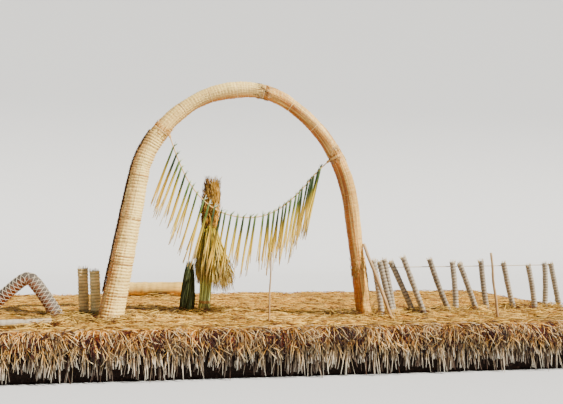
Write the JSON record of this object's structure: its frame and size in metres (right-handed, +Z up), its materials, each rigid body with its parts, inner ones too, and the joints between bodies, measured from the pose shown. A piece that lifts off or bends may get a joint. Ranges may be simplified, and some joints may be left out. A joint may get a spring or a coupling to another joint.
{
  "type": "floating reed raft with entrance arch",
  "caption": "Floating raft of cross-laid reeds on root blocks with a shaggy edge, carrying a tall bound reed arch, hung reed garland, sheaf, stakes and reed rolls.",
  "frame": {"origin": "middle of the flat underside, under the middle of the raft's outline; the water reaches up to z = 1.1 m", "axes": "+X along the raft's front edge, to the right for someone facing it; +Y from the front edge to the back; +Z up"},
  "size_m": [12, 6.6, 6.0458],
  "materials": {
    "root_mat": "rough, wet root peat",
    "reed_layer": "matt straw",
    "reed_deck": "dry golden straw",
    "reed_fringe": "bleached cut reed ends",
    "reed_cream": "smooth cream reed",
    "reed_tan": "smooth tan reed",
    "reed_green": "fresh green and yellow reed",
    "reed_seed": "brown seed heads",
    "reed_grey": "weathered grey reed",
    "rope": "twisted grass rope",
    "pole": "bare weathered pole"
  },
  "bodies": {
    "root": {"root_block_1": "root_mat", "root_block_2": "root_mat", "root_block_3": "root_mat", "root_block_4": "root_mat", "root_block_5": "root_mat", "root_block_6": "root_mat", "root_block_7": "root_mat", "root_block_8": "root_mat", "lower_reeds": "reed_layer", "middle_reeds": "reed_layer", "deck_reeds": "reed_deck", "fringe_front": "reed_fringe", "fringe_back": "reed_fringe", "fringe_left": "reed_fringe", "fringe_right": "reed_fringe", "arch_left_leg": "reed_cream", "arch_left_crown": "reed_cream", "arch_right_crown": "reed_tan", "arch_right_leg": "reed_tan", "arch_right_foot": "reed_tan", "ties_left_leg": "rope", "ties_crown": "rope", "ties_right_leg": "rope", "garland_ties": "rope", "garland_rope": "rope", "garland_reeds_left": "reed_green", "garland_reeds_middle": "reed_green", "garland_reeds_right": "reed_green", "sheaf_body": "reed_green", "sheaf_head": "reed_seed", "sheaf_tie": "rope", "sheaf_skirt": "reed_green", "sheaf_side_bundle": "reed_green", "prop_pole": "pole", "mooring_stake_front": "pole", "mooring_stake_right": "pole", "thin_rolls": "reed_grey", "rail_rope": "rope", "thick_rolls": "reed_grey", "thick_folded_roll": "reed_grey", "edge_log": "reed_grey", "seat_log": "reed_tan"}
  },
  "joints": []
}
